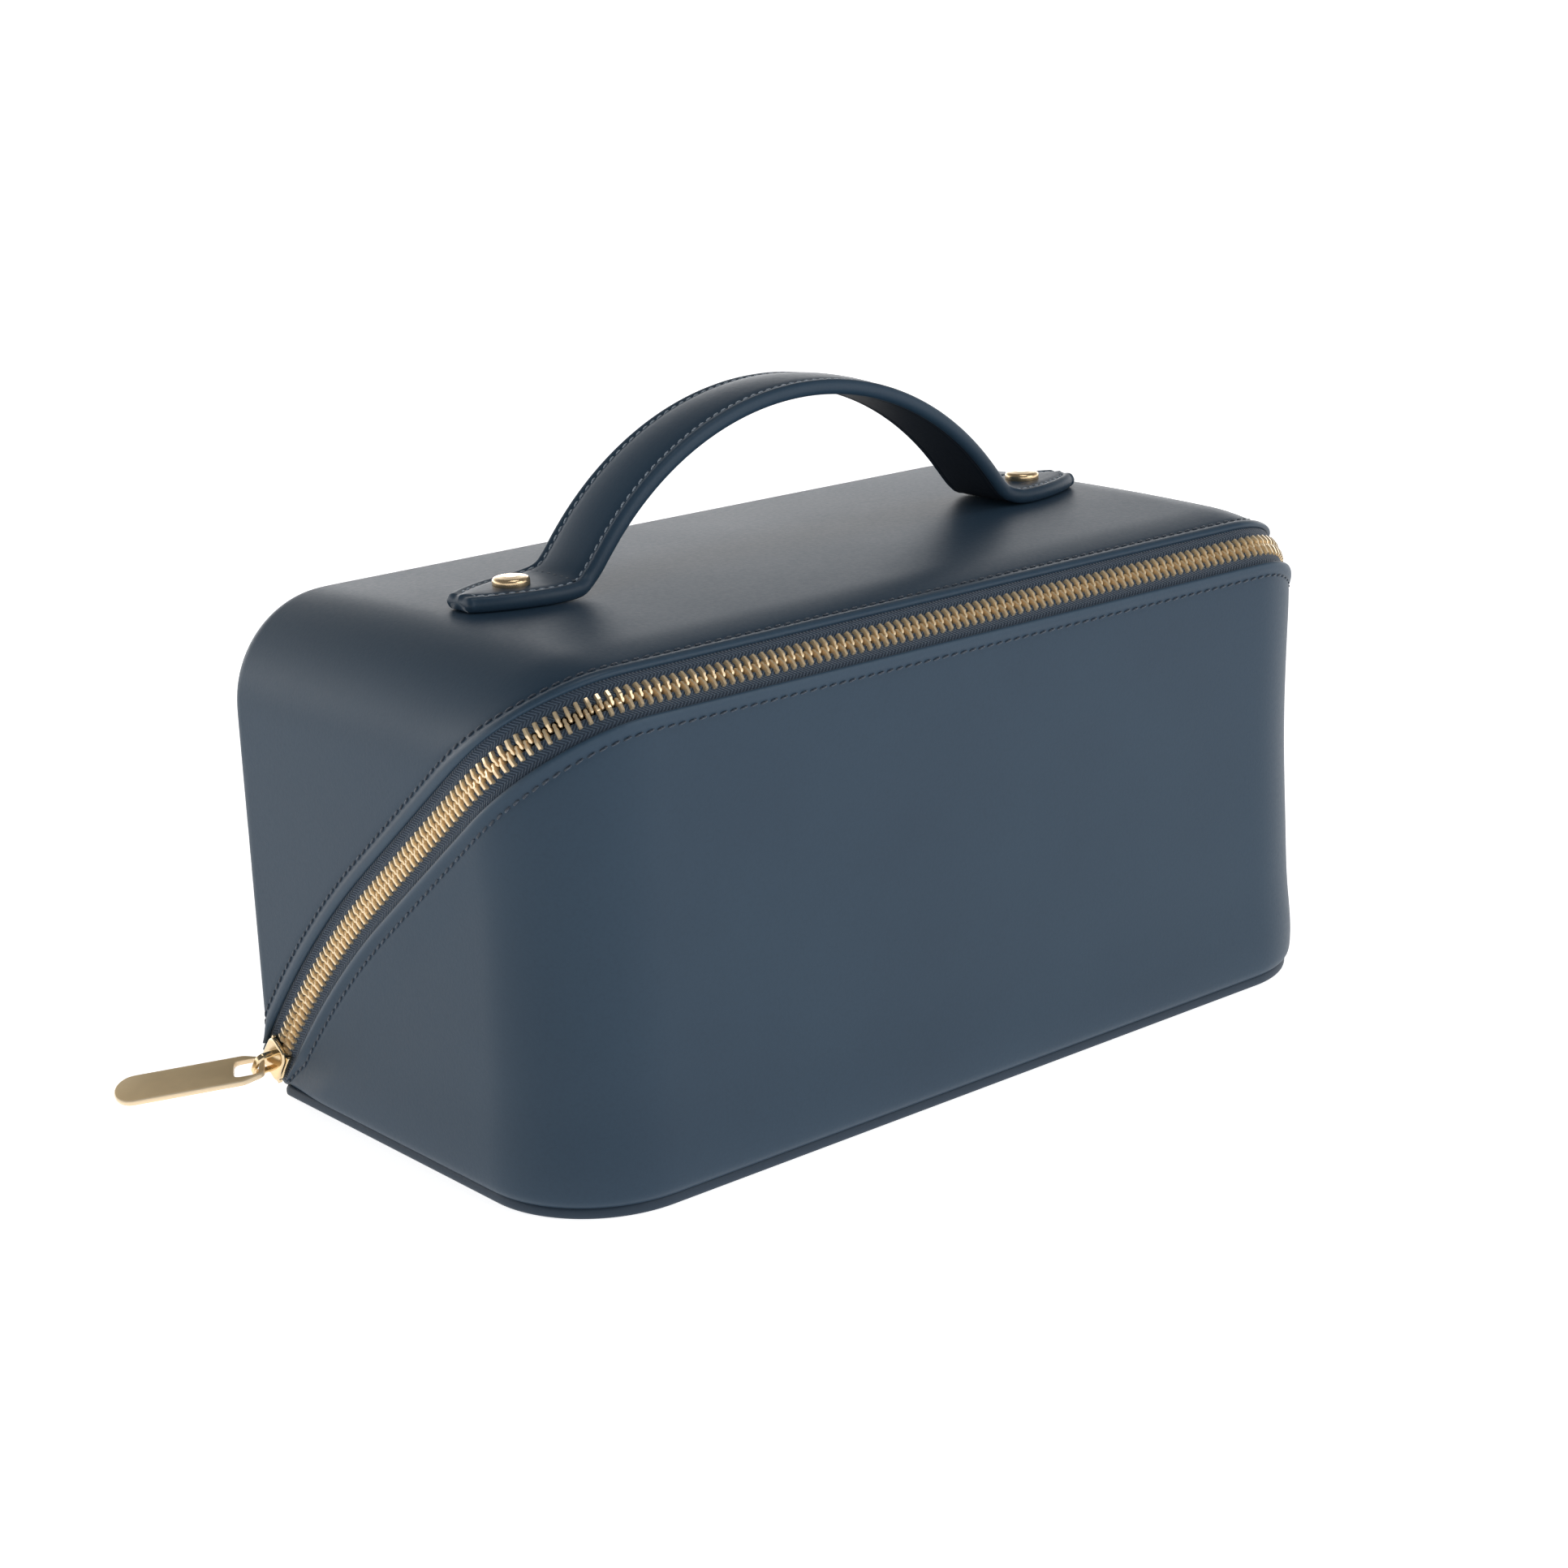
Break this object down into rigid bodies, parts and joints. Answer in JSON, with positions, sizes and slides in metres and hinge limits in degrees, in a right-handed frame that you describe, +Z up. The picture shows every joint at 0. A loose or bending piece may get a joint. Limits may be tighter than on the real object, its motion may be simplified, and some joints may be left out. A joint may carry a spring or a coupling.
{
  "type": "zippered train case pouch",
  "caption": "Box-shaped zippered pouch that opens flat: stiff leather lid and tray on a leather fold, diagonal metal zip, riveted arched carry handle.",
  "frame": {"origin": "middle of the base's underside, where the pouch stands", "axes": "+Z up, +X along the long side, -Y towards the front"},
  "size_m": [0.2905, 0.1481, 0.1683],
  "materials": {
    "outer_leather": "smooth navy leather, satin, very fine grain",
    "lip_leather": "navy leather rolled over a filler, slightly glossier",
    "base_leather": "navy leather, matt",
    "strap_leather": "navy leather with painted edges",
    "strap_filler": "flexible filler between the strap's leathers",
    "stiffener_board": "grey fibre board",
    "lining_cloth": "plain navy woven lining",
    "zip_tape": "blue herringbone woven tape",
    "zip_metal": "bright pale gold",
    "slider_metal": "bright pale gold",
    "tab_metal": "brushed pale gold face with a polished rim",
    "rivet_metal": "polished pale gold"
  },
  "bodies": {
    "tray": {"tray_skin": "outer_leather", "tray_board": "stiffener_board", "tray_lining": "lining_cloth", "tray_lip": "lip_leather", "base_panel": "base_leather", "base_board": "stiffener_board", "base_lining": "lining_cloth", "base_foot_strip": "lip_leather", "hinge_fold": "base_leather", "zip_tape_lower": "zip_tape", "zip_teeth_lower": "zip_metal", "zip_top_stop": "zip_metal", "zip_bottom_stop": "zip_metal"},
    "lid": {"lid_skin": "outer_leather", "lid_back_panel": "outer_leather", "lid_board": "stiffener_board", "lid_back_board": "stiffener_board", "lid_lining": "lining_cloth", "lid_lip": "lip_leather", "zip_tape_upper": "zip_tape", "zip_teeth_upper": "zip_metal", "handle_top_leather": "strap_leather", "handle_core": "strap_filler", "handle_under_leather": "strap_leather", "rivet_caps": "rivet_metal", "rivet_posts": "rivet_metal", "rivet_washers": "rivet_metal"},
    "slider": {"slider_body": "slider_metal", "slider_bridge": "slider_metal"},
    "pull_tab": {"pull_tab": "tab_metal"}
  },
  "joints": [
    {"name": "lid_hinge", "type": "hinge", "parent": "tray", "child": "lid", "pos_m": [0, 0.0635, 0.002], "axis": [-1, 0, 0], "range_deg": [0, 90]},
    {"name": "zip_travel", "type": "hinge", "parent": "tray", "child": "slider", "pos_m": [-0.1275, -0.1757, -0.15857], "axis": [1, 0, 0], "range_deg": [0, 15], "deforming": ["zip_teeth_lower", "zip_teeth_upper"]},
    {"name": "tab_swing", "type": "hinge", "parent": "slider", "child": "pull_tab", "pos_m": [-0.13135, 0.05871, 0.00789], "axis": [0.5048, 0.7937, 0.3395], "range_deg": [0, 100]}
  ]
}
